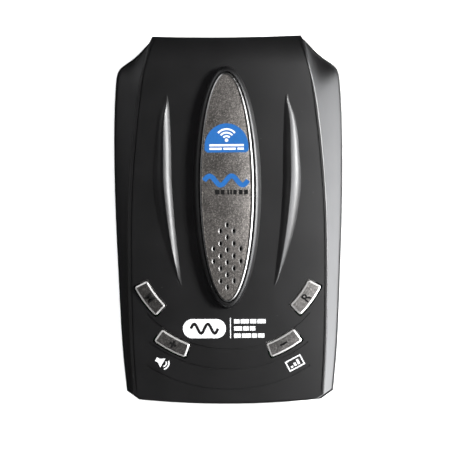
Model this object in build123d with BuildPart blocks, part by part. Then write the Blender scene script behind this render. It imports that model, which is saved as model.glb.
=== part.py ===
from build123d import *

import os
from math import cos, degrees, radians, sin

# Dashboard radar detector: a two-part housing with a horn antenna, a laser receiver, a speaker, a rear
# display and four push keys. Millimetres. X is the width, +Y the road-facing front, +Z up; the rubber feet
# stand on Z = 0 and the origin is under the middle of the housing.

os.makedirs("parts", exist_ok=True)

# ---- driving dimensions ----
half_length = 54.0
half_width = 33.7
overall_height = 30.0
wall = 2.0
gap = 0.1  # between pieces of the housing that are pushed together

foot_height = 1.0
floor_top = foot_height + wall
rim_bottom = 9.6  # the lower shell's rim stands straight between here and the seam
seam_z = 11.0
tongue_top = 12.0
crease_z = 26.0  # where the side facets meet the hood
hood_z = 26.6  # the hood's highest line
hood_crown_radius = 500.0
roll_radius = 14.0  # the hood rolls down to the front
roll_start_y = 44.0
bottom_draft = 1.6
bottom_edge_radius = 1.2
hood_edge_fillet, rim_edge_fillet = 0.5, 0.25
rear_corner_radius = 1.0
lower_cavity_inset, tongue_inset = 4.2, 3.3
form_top_z = 28.0  # the housing's sides run up to here before the hood cuts them
groove_base_z = 16.0  # the grooves are cut from solids that start here
facet_inset = 0.45  # the upper shell stands this far inside the lower shell's rim

# Right half of the plan, from the front tip to the rear corner: the seam line and the crease line.
seam_shoulder = [(21.6, 54.0), (23.3, 52.4), (25.4, 50.1), (28.9, 47.1), (31.8, 44.9), (33.1, 40.0)]
seam_flank = [(33.1, 40.0), (33.7, 21.0), (33.4, 2.0), (32.5, -20.0), (31.4, -40.0), (30.4, -50.0)]
crease_shoulder = [(21.5, 53.3), (22.2, 51.6), (22.9, 49.6), (23.7, 46.8), (24.4, 44.4), (25.2, 40.0)]
crease_flank = [(25.2, 40.0), (27.4, 21.0), (28.6, 2.0), (28.7, -20.0), (28.1, -40.0), (27.4, -50.0)]
seam_corner, crease_corner = (26.8, -52.6), (25.0, -51.4)
seam_front_y, crease_front_y = 53.4, 52.8
seam_rear_y, crease_rear_y = -54.0, -52.5

# Fine lines in the hood: one inside each crease, and three rings about the keys' centre.
crease_groove_inset, groove_width, groove_depth = 0.75, 0.45, 0.22
ring_grooves = [(31.4, 48.0), (37.1, 38.0), (42.9, 33.0)]  # radius, half the angle that it covers

# Crescent ridges: Y, then X of the inner foot, the crest and the outer foot, and the crest's height.
ridge_stations = [
    (36.0, 16.4, 17.3, 18.0, 0.06),
    (31.0, 15.5, 17.8, 19.3, 0.65),
    (26.0, 15.1, 18.2, 20.2, 1.2),
    (19.0, 14.9, 18.3, 20.8, 1.5),
    (11.6, 14.8, 18.3, 21.2, 1.6),
    (5.0, 14.5, 17.8, 20.6, 1.5),
    (-1.0, 14.1, 17.1, 19.5, 1.25),
    (-8.0, 13.4, 16.0, 17.6, 0.8),
    (-14.0, 12.8, 14.8, 15.6, 0.35),
    (-18.5, 12.4, 13.5, 13.9, 0.05),
]

crest_width = 0.25

# The oval insert: a plate in a bright rim, with a dark gap round it, in a recess on top of a mound.
oval_y = 9.5
rim_semi = (7.66, 32.7)
rim_width, rim_bevel, rim_bevel_drop = 0.45, 0.32, 0.25
plate_semi = (rim_semi[0] - rim_width - gap / 2, rim_semi[1] - rim_width - gap / 2)
recess_gap, land_width = 0.42, 0.3
recess_semi = (rim_semi[0] + recess_gap, rim_semi[1] + recess_gap)
mound_z = 29.4
recess_z = 28.4
plate_top = 29.65
mound_steps = [(25.4, 2.9), (26.8, 1.3), (28.75, 0.75), (mound_z, 0.0)]  # height, and how far the mound spreads there

# The keys stand on two rings about one centre.
key_centre = (0.0, -5.6)
key_length, key_depth, key_corner = 9.6, 4.1, 0.65
key_gap = 0.42
key_top, key_rim, key_rim_drop = 26.95, 0.48, 0.33
key_travel = 0.5
keys = {  # name: ring radius, angle
    "key_m": (27.9, 216.4),
    "key_r": (27.9, 323.6),
    "key_plus": (33.8, 241.7),
    "key_minus": (33.8, 298.3),
}
flange_z = (22.9, 23.72)
flange_reach, flange_outer_reach = 0.85, 0.3
switch_offset = 0.7
key_foot_z, key_foot_radius = 22.4, 2.0
plunger_radius, plunger_bottom = 1.7, 20.0
plunger_clearance = 0.05

# Boards and what stands on them.
main_board_z = (9.5, 11.1)
main_board_y, main_board_size, main_board_corner = -16.5, (50.0, 49.0), 1.0
main_board_tab_place, main_board_tab = (-20.5, 17.0), (15.0, 18.0)  # reaches over the power jack
key_board_z = (16.0, 17.6)
key_board_y, key_board_size, key_board_corner = -27.5, (51.0, 27.0), 1.5
key_board_notch_y, key_board_notch = -14.0, (23.0, 17.0)  # room for the speaker
board_parts = {  # name: place, size, top edge
    "microcontroller": ((-9.0, -20.0), (10.0, 10.0, 1.5), 0.25),
    "audio_amplifier": ((9.0, -21.0), (5.0, 4.0, 1.6), 0.25),
    "voltage_regulator": ((-19.0, 12.0), (6.5, 5.5, 2.3), 0.3),
    "board_header": ((0.0, -38.5), (12.7, 2.5, key_board_z[0] - main_board_z[1]), 0.2),
}
crystal_place, crystal_size, crystal_height = (2.0, -31.0), (11.0, 4.5), 3.4
capacitor_places, capacitor_radius, capacitor_height = [(16, -1), (16, -9), (-16, -4)], 3.1, 5.2
can_edge = 0.5
switch_top = 21.2
speaker_y = -10.3
speaker_radius = 10.0
speaker_top = 23.9
speaker_collar_z, speaker_collar = 21.7, (0.3, 1.3)  # the collar starts and ends this far outside the speaker
chamber_inset, chamber_start_y, chamber_roof_z = (0.7, 1.7), 4.0, 26.8  # the hollow under the plate's front
lead_reach, lead_radius, lead_top = 7.4, 0.45, 19.9
switch_size, switch_corner = 6.0, 0.4

sound_semi, sound_y = (4.9, 10.6), -10.2  # the opening under the grille
grille_pitch = 3.56
grille_hole_high, grille_hole_low = (0.64, 1.0), (0.34, 0.66)
grille_sink = 0.28  # the holes are countersunk this deep
grille_columns = [(0.0, -1.3, 6), (1.9, -3.05, 5), (3.85, -8.1, 2)]  # X, first Y, number of holes
grille_holes = sorted({(side * x, first - grille_pitch * i)
                       for x, first, count in grille_columns for i in range(count) for side in (1, -1)})

# Underside.
foot_radius, foot_inlay = 3.5, 0.4
label_size, label_y, label_inlay = (30.0, 18.0), -8.0, 0.15
label_thick, label_corner, foot_edge = 0.2, 1.5, 0.3
bracket_half, bracket_y, bracket_z = 11.0, 38.0, (2.7, 5.0)  # the slot that the windscreen bracket slides into
bracket_wall, bracket_roof, bracket_front_y, bracket_cut_y = 2.0, 1.4, 52.0, 60.0

# Fasteners.
case_screw_places = [(26.0, -44.5), (-26.0, -44.5), (26.5, 35.5), (-26.5, 35.5)]
board_screw_places = [(22.5, 4.5), (-22.5, 4.5), (22.5, -37.0), (-22.5, -37.0)]
key_board_screw_places = [(12.5, -27.5), (-12.5, -27.5), (23.0, -36.5), (-23.0, -36.5)]
horn_screw_places = [(-16.5, 31.0), (10.5, 31.0)]
foot_places = [(17.0, -46.0), (-17.0, -46.0), (19.5, 41.5), (-19.5, 41.5)]
post_radius, key_board_post_radius, main_board_post_radius, horn_post_radius = 3.0, 2.2, 2.6, 2.8
screw_seat_z = 4.0
case_pilot, key_board_pilot = (1.2, 8.0), (1.0, 4.5)  # radius and depth
case_shank_hole, case_head_hole = 1.35, 2.6
small_pilot_radius, small_pilot_z = 0.9, 4.0
board_hole_radius = 1.1
small_head = (1.9, 1.3)  # radius and height
case_head = (2.3, 1.6)
cross_reach, cross_width, cross_depth = 1.2, 0.5, 0.6

# Front end.
horn_x, horn_z = -3.0, 13.3
horn_mouth, horn_guide = (28.0, 13.0), (16.0, 9.0)
horn_mouth_y, horn_throat_y, horn_back_y = 49.0, 31.0, 12.0
horn_wall = 1.2
horn_lug_radius, horn_lug_width, horn_lug_height = 3.0, 6.0, 2.0
throat_size = (horn_guide[0] + 2 * horn_wall, horn_guide[1] + 2 * horn_wall)
lug_z, guide_top = horn_z - horn_guide[1] / 2, horn_z + horn_guide[1] / 2
mixer_y, mixer_size, mixer_thick = 21.0, (17.0, 19.0), 0.8
shield_size, shield_wall, shield_height, shield_roof = (15.0, 16.0), 0.4, 3.4, 0.4
ribbon_x = (-7.0, 1.0)
ribbon_profile = [(4, 11.1), (9.8, 11.1), (9.8, 18.2), (11.5, 18.2),
                  (11.5, 18.5), (9.5, 18.5), (9.5, 11.4), (4, 11.4)]
laser_box, laser_post_y = 8.0, 41.0
laser_holder_y, laser_lens_y = (35.5, 46.5), 43.5
laser_tube_radius, laser_seat_radius = 2.85, 3.55
laser_dome = (43.3, 4.3, 36.0)  # the dome's centre, its radius, and the angle of its rim
diode_y, diode_flange, diode_can = 36.2, (2.8, 0.6), (2.4, 2.6)  # radius and length
laser_x, laser_z = 15.6, 14.5
window_half, window_z = 18.5, (12.7, 20.6)
window_corner, window_cut = 1.0, 5.0
window_flange_y, window_flange_thick, window_thick = 49.9, 0.6, 2.3
window_flange_reach = (1.0, 0.7)

# Rear display.
lens_half, lens_z, lens_thick = 21.0, (13.0, 22.6), 1.5
frame_y, frame_size, frame_window = (-49.7, -48.9), (43.4, 11.2), (17.0, 9.4)
led_columns, led_size, led_length, led_window = (11.5, 15.0, 18.5), (2.0, 5.0), 3.0, (2.6, 5.6)
led_places = [(side * x, sum(lens_z) / 2) for side in (1, -1) for x in led_columns]
digits_size, digits_length, digits_edge = (16.0, 9.0), 3.9, 0.2
display_board_y, display_board_z, display_board_width = (-45.0, -43.4), (12.2, 23.0), 45.0
header_columns, header_width = range(-9, 10, 3), 0.6
header_profile = [(-42.6, 11.1), (-42.0, 11.1), (-42.0, 13.6), (-43.4, 13.6), (-43.4, 13.0), (-42.6, 13.0)]

# Power jack, in the left-hand side wall.
jack_y, jack_z = 20.0, 6.25
jack_bore_radius, jack_bore_length = 1.8, 11.0
jack_mouth_x, jack_box_x = -32.6, (-29.3, -19.0)
jack_box_width, jack_nose_radius, jack_nose_gap = 9.0, 3.1, 0.2
jack_chamber_radius, jack_chamber_length = 2.2, 2.0  # behind the bore, with the contact at its end
jack_contact_thick = 0.8


def save(part, name):
    """Labels a finished piece and writes it."""
    part.label = name
    export_step(part, f"parts/{name}.step")


def inset_point(point, inset, reach):
    """A plan point moved inwards, so that an outline that reaches `reach` loses `inset` all round."""
    return (point[0] * (reach - inset) / reach, point[1] * (half_length - inset) / half_length)


def between(low, high, height):
    """The point at a height on the straight line through a seam point and a crease point."""
    t = (height - seam_z) / (crease_z - seam_z)
    return (low[0] + (high[0] - low[0]) * t, low[1] + (high[1] - low[1]) * t)


def outline(shoulder, flank, corner, front_y, rear_y, height):
    """The closed plan outline at a height: front arc, shoulders, flanks, clipped corners and rear arc."""
    joint = (flank[1][0] - shoulder[-2][0], flank[1][1] - shoulder[-2][1])
    start = (shoulder[1][0] - shoulder[0][0], shoulder[1][1] - shoulder[0][1])
    end = (flank[-1][0] - flank[-2][0], flank[-1][1] - flank[-2][1])
    with BuildSketch(Plane.XY.offset(height)) as sketch:
        with BuildLine():
            for side in (1, -1):
                shoulder_points = [(side * x, y) for x, y in shoulder]
                flank_points = [(side * x, y) for x, y in flank]
                ends = [(side * dx, dy) for dx, dy in (start, joint, end)]
                Spline(*shoulder_points, tangents=ends[:2])
                Spline(*flank_points, tangents=ends[1:])
                Line(flank_points[-1], (side * corner[0], corner[1]))
            ThreePointArc((-corner[0], corner[1]), (0, rear_y), corner)
            ThreePointArc((-shoulder[0][0], shoulder[0][1]), (0, front_y), shoulder[0])
        make_face()
    return sketch.sketch


def lower_outline(height, inset):
    """The lower shell's outline, inside its rim by `inset`."""
    shoulder = [inset_point(p, inset, half_width) for p in seam_shoulder]
    flank = [inset_point(p, inset, half_width) for p in seam_flank]
    corner = inset_point(seam_corner, inset, half_width)
    scale = (half_length - inset) / half_length
    return outline(shoulder, flank, corner, seam_front_y * scale, seam_rear_y * scale, height)


def upper_line(low_points, high_points, height, inset):
    """A run of the upper shell's outline at a height, inside its outer face by `inset`."""
    low = [inset_point(p, facet_inset, half_width) for p in low_points]
    points = [between(a, b, height) for a, b in zip(low, high_points)]
    reach = between((half_width, 0), (crease_flank[2][0], 0), height)[0]
    return [inset_point(p, inset, reach) for p in points]


def upper_outline(height, inset):
    """The upper shell's outline at a height, inside its outer face by `inset`."""
    shoulder = upper_line(seam_shoulder, crease_shoulder, height, inset)
    flank = upper_line(seam_flank, crease_flank, height, inset)
    corner = upper_line([seam_corner], [crease_corner], height, inset)[0]
    front = upper_line([(0, seam_front_y)], [(0, crease_front_y)], height, inset)[0]
    rear = upper_line([(0, seam_rear_y)], [(0, crease_rear_y)], height, inset)[0]
    return outline(shoulder, flank, corner, front[1], rear[1], height)


def ellipse_face(semi, height, centre_y=oval_y):
    """A flat ellipse on the centre line."""
    with BuildSketch(Plane.XY.offset(height)) as sketch:
        with Locations((0, centre_y)):
            Ellipse(*semi)
    return sketch.sketch


def ring_piece(low, high, length, angle, height):
    """A piece of a ring about the keys' centre, with radial ends and small round corners."""
    half = degrees(length / (low + high))
    with BuildSketch(Plane.XY.offset(height)) as sketch:
        with BuildLine():
            near = CenterArc(key_centre, low, angle - half, 2 * half)
            far = CenterArc(key_centre, high, angle - half, 2 * half)
            Line(near @ 0, far @ 0)
            Line(near @ 1, far @ 1)
        make_face()
        fillet(sketch.vertices(), key_corner)
    return sketch.sketch


def key_plan(name, height, grow=0.0):
    """A key's plan, made larger all round by `grow`."""
    radius, angle = keys[name]
    reach = key_depth / 2 + grow
    return ring_piece(radius - reach, radius + reach, key_length + 2 * grow, angle, height)


def key_button(name):
    """One key: a cap with a sloping rim, a flange that keeps it in, and the foot that presses its switch."""
    radius, angle = keys[name]
    flange_in, flange_out = radius - key_depth / 2 - flange_reach, radius + flange_outer_reach
    with BuildPart() as key:
        extrude(key_plan(name, flange_z[1]), amount=key_top - flange_z[1])
        top = key.faces().sort_by(Axis.Z)[-1]
        chamfer(top.edges(), length=key_rim, length2=key_rim_drop, reference=top)
        flange_length = key_length + 2 * flange_reach
        extrude(ring_piece(flange_in, flange_out, flange_length, angle, flange_z[0]),
                amount=flange_z[1] - flange_z[0])
        with BuildSketch(Plane.XY.offset(key_foot_z)):
            with Locations(switch_point(name)):
                Circle(key_foot_radius)
        extrude(amount=flange_z[0] - key_foot_z)
    return key.part


def ring_point(radius, angle):
    """A point on a ring about the keys' centre."""
    return (key_centre[0] + radius * cos(radians(angle)), key_centre[1] + radius * sin(radians(angle)))


def switch_point(name):
    """Where a key presses its switch, a little inside the key's own ring."""
    radius, angle = keys[name]
    return ring_point(radius - switch_offset, angle)


def hood_height(x):
    """The hood's height over its straight part."""
    return hood_z - x * x / (2 * hood_crown_radius)


def above_hood(drop):
    """Everything above the hood's outer face lowered by `drop`: what the hood's shape cuts away."""
    half, room, back_y, front_turn = 40.0, 14.0, -60.0, 75.0
    top = hood_z - drop
    edge = top - half * half / (2 * hood_crown_radius)
    with BuildPart() as block:
        with BuildSketch(Plane.XZ.offset(-roll_start_y)) as section:
            with BuildLine():
                ThreePointArc((-half, edge), (0, top), (half, edge))
                Polyline((half, edge), (half, top + room), (-half, top + room), (-half, edge))
            make_face()
        extrude(amount=roll_start_y - back_y)
        axis = Axis((0, roll_start_y, hood_z - roll_radius), (-1, 0, 0))
        revolve(section.sketch, axis=axis, revolution_arc=front_turn)
    return block.part


# ---- housing: outer form, cavity and shared cutters ----
with BuildPart() as upper_form:
    loft(sections=[upper_outline(seam_z, 0), upper_outline(form_top_z, 0)], ruled=True)
    add(above_hood(0), mode=Mode.SUBTRACT)
    rear_corners = [e for e in upper_form.edges() if e.center().Y < -45 and abs(e.tangent_at(0.5).Z) > 0.9]
    fillet(rear_corners, rear_corner_radius)
    hood_faces = upper_form.faces().filter_by(lambda f: f.center().Z > groove_base_z and f.normal_at().Z > 0.6)
    shared = [e for e in hood_faces[0].edges() if any(e.is_same(o) for f in hood_faces[1:] for o in f.edges())]
    border = [e for f in hood_faces for e in f.edges() if not any(e.is_same(s) for s in shared)]
    fillet(border, hood_edge_fillet)

with BuildPart() as upper_cavity:
    loft(sections=[upper_outline(seam_z, wall), upper_outline(hood_z, wall)], ruled=True)
    add(above_hood(wall), mode=Mode.SUBTRACT)

with BuildPart() as lens_cavity:
    loft(sections=[upper_outline(seam_z, lens_thick), upper_outline(hood_z, lens_thick)], ruled=True)

with BuildPart() as groove_cutter:
    for side in (1, -1):
        with BuildSketch(Plane.XY.offset(groove_base_z)):
            with BuildLine():
                for inset in (crease_groove_inset, crease_groove_inset + groove_width):
                    shoulder = upper_line(seam_shoulder, crease_shoulder, crease_z, inset)
                    flank = upper_line(seam_flank, crease_flank, crease_z, inset)
                    Spline(*[(side * x, y) for x, y in shoulder + flank[1:]])
                    if inset == crease_groove_inset:
                        first, last = shoulder[0], flank[-1]
                Line((side * first[0], first[1]), (side * shoulder[0][0], shoulder[0][1]))
                Line((side * last[0], last[1]), (side * flank[-1][0], flank[-1][1]))
            make_face()
    with BuildSketch(Plane.XY.offset(groove_base_z)):
        for radius, spread in ring_grooves:
            with BuildLine():
                for edge in (radius - groove_width / 2, radius + groove_width / 2):
                    CenterArc(key_centre, edge, 270 - spread, 2 * spread)
                for angle in (270 - spread, 270 + spread):
                    inner_end = ring_point(radius - groove_width / 2, angle)
                    Line(inner_end, ring_point(radius + groove_width / 2, angle))
            make_face()
    extrude(amount=hood_z)
    add(above_hood(groove_depth), mode=Mode.INTERSECT)


def ridge(side):
    """One of the two long crescent ridges: a soft inner rise to a sharp crest, and a steeper outer wall."""
    sections = []
    for y, inner, crest, outer, height in ridge_stations:
        base = hood_height(crest)
        with BuildSketch(Plane.XZ.offset(-y)) as section:
            with BuildLine():
                foot, heel = (side * inner, base), (side * outer, base)
                top = base + height
                near, far = side * (crest - crest_width / 2), side * (crest + crest_width / 2)
                ThreePointArc(foot, (side * (inner + 0.62 * (crest - inner)), base + 0.3 * height), (near, top))
                Line((near, top), (far, top))
                ThreePointArc((far, top), (side * (crest + 0.42 * (outer - crest)), base + 0.34 * height), heel)
                Polyline(heel, (side * outer, base - 1), (side * inner, base - 1), foot)
            make_face()
        sections.append(section.sketch)
    with BuildPart() as solid:
        loft(sections=sections)
    return solid.part


with BuildPart() as mound:
    for height, flare in mound_steps:
        grow = land_width + flare
        add(ellipse_face((recess_semi[0] + grow, recess_semi[1] + grow), height))
    loft()


with BuildPart() as post_room:
    loft(sections=[upper_outline(seam_z, wall / 2), upper_outline(hood_z, wall / 2)], ruled=True)
    add(above_hood(wall / 2), mode=Mode.SUBTRACT)

with BuildPart() as upper_posts:
    with BuildSketch(Plane.XY.offset(seam_z)):
        with Locations(*case_screw_places):
            Circle(post_radius)
    extrude(amount=hood_z - seam_z)
    with BuildSketch(Plane.XY.offset(key_board_z[1])):
        with Locations(*key_board_screw_places):
            Circle(key_board_post_radius)
    extrude(amount=hood_z - key_board_z[1])
    with BuildSketch(Plane.XY.offset(speaker_collar_z)):
        with Locations((0, speaker_y)):
            Circle(speaker_radius + speaker_collar[1])
            Circle(speaker_radius + speaker_collar[0], mode=Mode.SUBTRACT)
    extrude(amount=hood_z - speaker_collar_z)
    add(post_room.part, mode=Mode.INTERSECT)

with BuildPart() as upper_shell:
    add(upper_form.part)
    add(upper_cavity.part, mode=Mode.SUBTRACT)
    add(upper_posts.part)
    add(mound.part)
    add(ridge(1))
    add(ridge(-1))
    add(groove_cutter.part, mode=Mode.SUBTRACT)
    extrude(ellipse_face(recess_semi, recess_z), amount=overall_height - recess_z, mode=Mode.SUBTRACT)
    extrude(ellipse_face(sound_semi, speaker_top, sound_y), amount=recess_z - speaker_top, mode=Mode.SUBTRACT)
    with BuildSketch(Plane.XY.offset(speaker_top)) as chamber:
        with Locations((0, oval_y)):
            Ellipse(plate_semi[0] - chamber_inset[0], plate_semi[1] - chamber_inset[1])
        with Locations((0, chamber_start_y - half_length)):
            Rectangle(2 * half_width, 2 * half_length, mode=Mode.SUBTRACT)
    extrude(amount=chamber_roof_z - speaker_top, mode=Mode.SUBTRACT)
    for name in keys:
        extrude(key_plan(name, switch_top, key_gap), amount=overall_height - switch_top, mode=Mode.SUBTRACT)
    for half, levels, y in ((window_half, window_z, half_length), (lens_half, lens_z, -half_length)):
        with BuildSketch(Plane.XZ.offset(-y)):
            with Locations((0, sum(levels) / 2)):
                RectangleRounded(2 * half, levels[1] - levels[0], window_corner)
        extrude(amount=window_cut, both=True, mode=Mode.SUBTRACT)
    with BuildSketch(Plane.XY.offset(seam_z)):
        with Locations(*case_screw_places):
            Circle(case_pilot[0])
    extrude(amount=case_pilot[1], mode=Mode.SUBTRACT)
    with BuildSketch(Plane.XY.offset(key_board_z[1])):
        with Locations(*key_board_screw_places):
            Circle(key_board_pilot[0])
    extrude(amount=key_board_pilot[1], mode=Mode.SUBTRACT)
save(upper_shell.part, "upper_shell")

with BuildPart() as lower_shell:
    loft(sections=[lower_outline(foot_height, bottom_draft), lower_outline(rim_bottom, 0)], ruled=True)
    fillet(lower_shell.faces().sort_by(Axis.Z)[0].edges(), bottom_edge_radius)
    extrude(lower_outline(rim_bottom, 0), amount=seam_z - rim_bottom)
    fillet(lower_shell.faces().sort_by(Axis.Z)[-1].edges(), rim_edge_fillet)
    extrude(lower_outline(seam_z, tongue_inset), amount=tongue_top - seam_z)
    with BuildSketch(Plane.XY.offset(seam_z)):
        with Locations(*case_screw_places):
            Circle(post_radius + gap)
    extrude(amount=tongue_top - seam_z, mode=Mode.SUBTRACT)
    extrude(lower_outline(floor_top, lower_cavity_inset), amount=tongue_top - floor_top, mode=Mode.SUBTRACT)
    with BuildSketch(Plane.XY.offset(floor_top)):
        with Locations(*case_screw_places):
            Circle(post_radius)
    extrude(amount=seam_z - floor_top)
    with BuildSketch(Plane.XY.offset(floor_top)):
        with Locations(*board_screw_places):
            Circle(main_board_post_radius)
    extrude(amount=main_board_z[0] - floor_top)
    with BuildSketch(Plane.XY.offset(floor_top)):
        with Locations(*horn_screw_places):
            Circle(horn_post_radius)
    extrude(amount=lug_z - floor_top)
    with BuildSketch(Plane.XY.offset(floor_top)):
        with Locations((laser_x, laser_post_y)):
            Rectangle(laser_box / 2, laser_box / 2)
    extrude(amount=laser_z - laser_box / 2 - floor_top)
    with BuildSketch(Plane.XY.offset(floor_top)):
        with Locations((0, (bracket_y - bracket_wall + bracket_front_y) / 2)):
            Rectangle(2 * (bracket_half + bracket_wall), bracket_front_y - bracket_y + bracket_wall)
    extrude(amount=bracket_z[1] + bracket_roof - floor_top)
    with Locations((0, (bracket_y + bracket_cut_y) / 2, sum(bracket_z) / 2)):
        Box(2 * bracket_half, bracket_cut_y - bracket_y, bracket_z[1] - bracket_z[0], mode=Mode.SUBTRACT)
    with BuildSketch(Plane.XY.offset(foot_height)):
        with Locations(*foot_places):
            Circle(foot_radius + gap)
    extrude(amount=foot_inlay, mode=Mode.SUBTRACT)
    with BuildSketch(Plane.XY.offset(foot_height)):
        with Locations((0, label_y)):
            Rectangle(label_size[0] + 2 * gap, label_size[1] + 2 * gap)
    extrude(amount=label_inlay, mode=Mode.SUBTRACT)
    with BuildSketch(Plane.YZ.offset(-half_width - 1)):
        with Locations((jack_y, jack_z)):
            Circle(jack_nose_radius + jack_nose_gap)
    extrude(amount=half_width + 1 + jack_box_x[0] + 0.5, mode=Mode.SUBTRACT)
    with BuildSketch(Plane.XY):
        with Locations(*case_screw_places):
            Circle(case_shank_hole)
    extrude(amount=seam_z, mode=Mode.SUBTRACT)
    with BuildSketch(Plane.XY):
        with Locations(*case_screw_places):
            Circle(case_head_hole)
    extrude(amount=screw_seat_z, mode=Mode.SUBTRACT)
    with BuildSketch(Plane.XY.offset(small_pilot_z)):
        with Locations(*board_screw_places, *horn_screw_places):
            Circle(small_pilot_radius)
    extrude(amount=seam_z, mode=Mode.SUBTRACT)
save(lower_shell.part, "lower_shell")

with BuildPart() as rubber_feet:
    with BuildSketch():
        with Locations(*foot_places):
            Circle(foot_radius)
    extrude(amount=foot_height + foot_inlay)
    fillet(rubber_feet.faces().group_by(Axis.Z)[0].edges(), foot_edge)
save(rubber_feet.part, "rubber_feet")

with BuildPart() as base_label:
    with BuildSketch(Plane.XY.offset(foot_height + label_inlay - label_thick)):
        with Locations((0, label_y)):
            RectangleRounded(*label_size, label_corner)
    extrude(amount=label_thick)
save(base_label.part, "base_label")

# ---- oval insert ----
with BuildPart() as oval_rim:
    extrude(ellipse_face(rim_semi, recess_z), amount=overall_height - recess_z)
    inner_semi = (rim_semi[0] - rim_width, rim_semi[1] - rim_width)
    extrude(ellipse_face(inner_semi, recess_z), amount=overall_height - recess_z, mode=Mode.SUBTRACT)
    top = oval_rim.faces().sort_by(Axis.Z)[-1]
    chamfer(top.edges().sort_by(SortBy.LENGTH)[-1], length=rim_bevel, length2=rim_bevel_drop, reference=top)
save(oval_rim.part, "oval_rim")

with BuildPart() as grille_cutter:
    for place in grille_holes:
        with BuildSketch(Plane.XY.offset(recess_z)):
            with Locations(place):
                Ellipse(*grille_hole_low)
        extrude(amount=plate_top - recess_z)
        for height, semi in ((plate_top - grille_sink, grille_hole_low), (plate_top, grille_hole_high)):
            with BuildSketch(Plane.XY.offset(height)):
                with Locations(place):
                    Ellipse(*semi)
        loft()

with BuildPart() as oval_plate:
    extrude(ellipse_face(plate_semi, recess_z), amount=plate_top - recess_z)
    add(grille_cutter.part, mode=Mode.SUBTRACT)
save(oval_plate.part, "oval_plate")

# ---- keys and their switches ----
for name in keys:
    save(key_button(name), name)

for name in keys:
    with BuildPart() as plunger:
        with BuildSketch(Plane.XY.offset(plunger_bottom)):
            with Locations(switch_point(name)):
                Circle(plunger_radius)
        extrude(amount=key_foot_z - plunger_bottom)
    save(plunger.part, name.replace("key", "plunger"))

with BuildPart() as tact_switches:
    for name in keys:
        with BuildSketch(Plane.XY.offset(key_board_z[1])):
            with Locations(Location(switch_point(name), keys[name][1])):
                RectangleRounded(switch_size, switch_size, switch_corner)
        extrude(amount=switch_top - key_board_z[1])
        with BuildSketch(Plane.XY.offset(plunger_bottom - key_travel - gap)):
            with Locations(switch_point(name)):
                Circle(plunger_radius + plunger_clearance)
        extrude(amount=switch_top, mode=Mode.SUBTRACT)
save(tact_switches.part, "tact_switches")

with BuildPart() as key_board:
    with BuildSketch(Plane.XY.offset(key_board_z[0])) as plan:
        with Locations((0, key_board_y)):
            Rectangle(*key_board_size)
        with Locations((0, key_board_notch_y)):
            Rectangle(*key_board_notch, mode=Mode.SUBTRACT)
        fillet(plan.vertices(), key_board_corner)
        with Locations(*key_board_screw_places):
            Circle(board_hole_radius, mode=Mode.SUBTRACT)
    extrude(amount=key_board_z[1] - key_board_z[0])
save(key_board.part, "key_board")

# ---- main board and what stands on it ----
with BuildPart() as main_board:
    with BuildSketch(Plane.XY.offset(main_board_z[0])) as plan:
        with Locations((0, main_board_y)):
            Rectangle(*main_board_size)
        with Locations(main_board_tab_place):
            Rectangle(*main_board_tab)
        fillet(plan.vertices(), main_board_corner)
        with Locations(*board_screw_places):
            Circle(board_hole_radius, mode=Mode.SUBTRACT)
    extrude(amount=main_board_z[1] - main_board_z[0])
save(main_board.part, "main_board")


def board_block(place, size, edge):
    """A moulded component on the main board, with its top edges broken."""
    with BuildPart() as block:
        with BuildSketch(Plane.XY.offset(main_board_z[1])):
            with Locations(place):
                Rectangle(size[0], size[1])
        extrude(amount=size[2])
        chamfer(block.faces().sort_by(Axis.Z)[-1].edges(), edge)
    return block.part


for name, (place, size, edge) in board_parts.items():
    save(board_block(place, size, edge), name)

with BuildPart() as crystal:
    with BuildSketch(Plane.XY.offset(main_board_z[1])):
        with Locations(crystal_place):
            SlotOverall(*crystal_size)
    extrude(amount=crystal_height)
    fillet(crystal.faces().sort_by(Axis.Z)[-1].edges(), can_edge)
save(crystal.part, "crystal")

with BuildPart() as capacitors:
    with BuildSketch(Plane.XY.offset(main_board_z[1])):
        with Locations(*capacitor_places):
            Circle(capacitor_radius)
    extrude(amount=capacitor_height)
    fillet(capacitors.faces().group_by(Axis.Z)[-1].edges(), can_edge)
save(capacitors.part, "capacitors")

with BuildPart() as mixer_ribbon:
    with BuildSketch(Plane.YZ.offset(ribbon_x[0])):
        with BuildLine():
            Polyline(*ribbon_profile, close=True)
        make_face()
    extrude(amount=ribbon_x[1] - ribbon_x[0])
save(mixer_ribbon.part, "mixer_ribbon")

# ---- rear display ----
with BuildPart() as display_lens:
    add(upper_form.part)
    add(lens_cavity.part, mode=Mode.SUBTRACT)
    with BuildSketch(Plane.XZ.offset(half_length)):
        with Locations((0, sum(lens_z) / 2)):
            RectangleRounded(2 * (lens_half - gap), lens_z[1] - lens_z[0] - 2 * gap, window_corner - gap)
    extrude(amount=window_cut, both=True, mode=Mode.INTERSECT)
save(display_lens.part, "display_lens")

with BuildPart() as display_frame:
    with BuildSketch(Plane.XZ.offset(-frame_y[1])):
        with Locations((0, sum(lens_z) / 2)):
            Rectangle(*frame_size)
            Rectangle(*frame_window, mode=Mode.SUBTRACT)
        with Locations(*led_places):
            Rectangle(*led_window, mode=Mode.SUBTRACT)
    extrude(amount=frame_y[1] - frame_y[0])
save(display_frame.part, "display_frame")

with BuildPart() as display_board:
    with Locations((0, sum(display_board_y) / 2, sum(display_board_z) / 2)):
        board_thick = display_board_y[1] - display_board_y[0]
        Box(display_board_width, board_thick, display_board_z[1] - display_board_z[0])
save(display_board.part, "display_board")

with BuildPart() as digit_display:
    with BuildSketch(Plane.XZ.offset(-display_board_y[0])):
        with Locations((0, sum(lens_z) / 2)):
            Rectangle(*digits_size)
    extrude(amount=digits_length)
    chamfer(digit_display.faces().sort_by(Axis.Y)[0].edges(), digits_edge)
save(digit_display.part, "digit_display")

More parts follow.
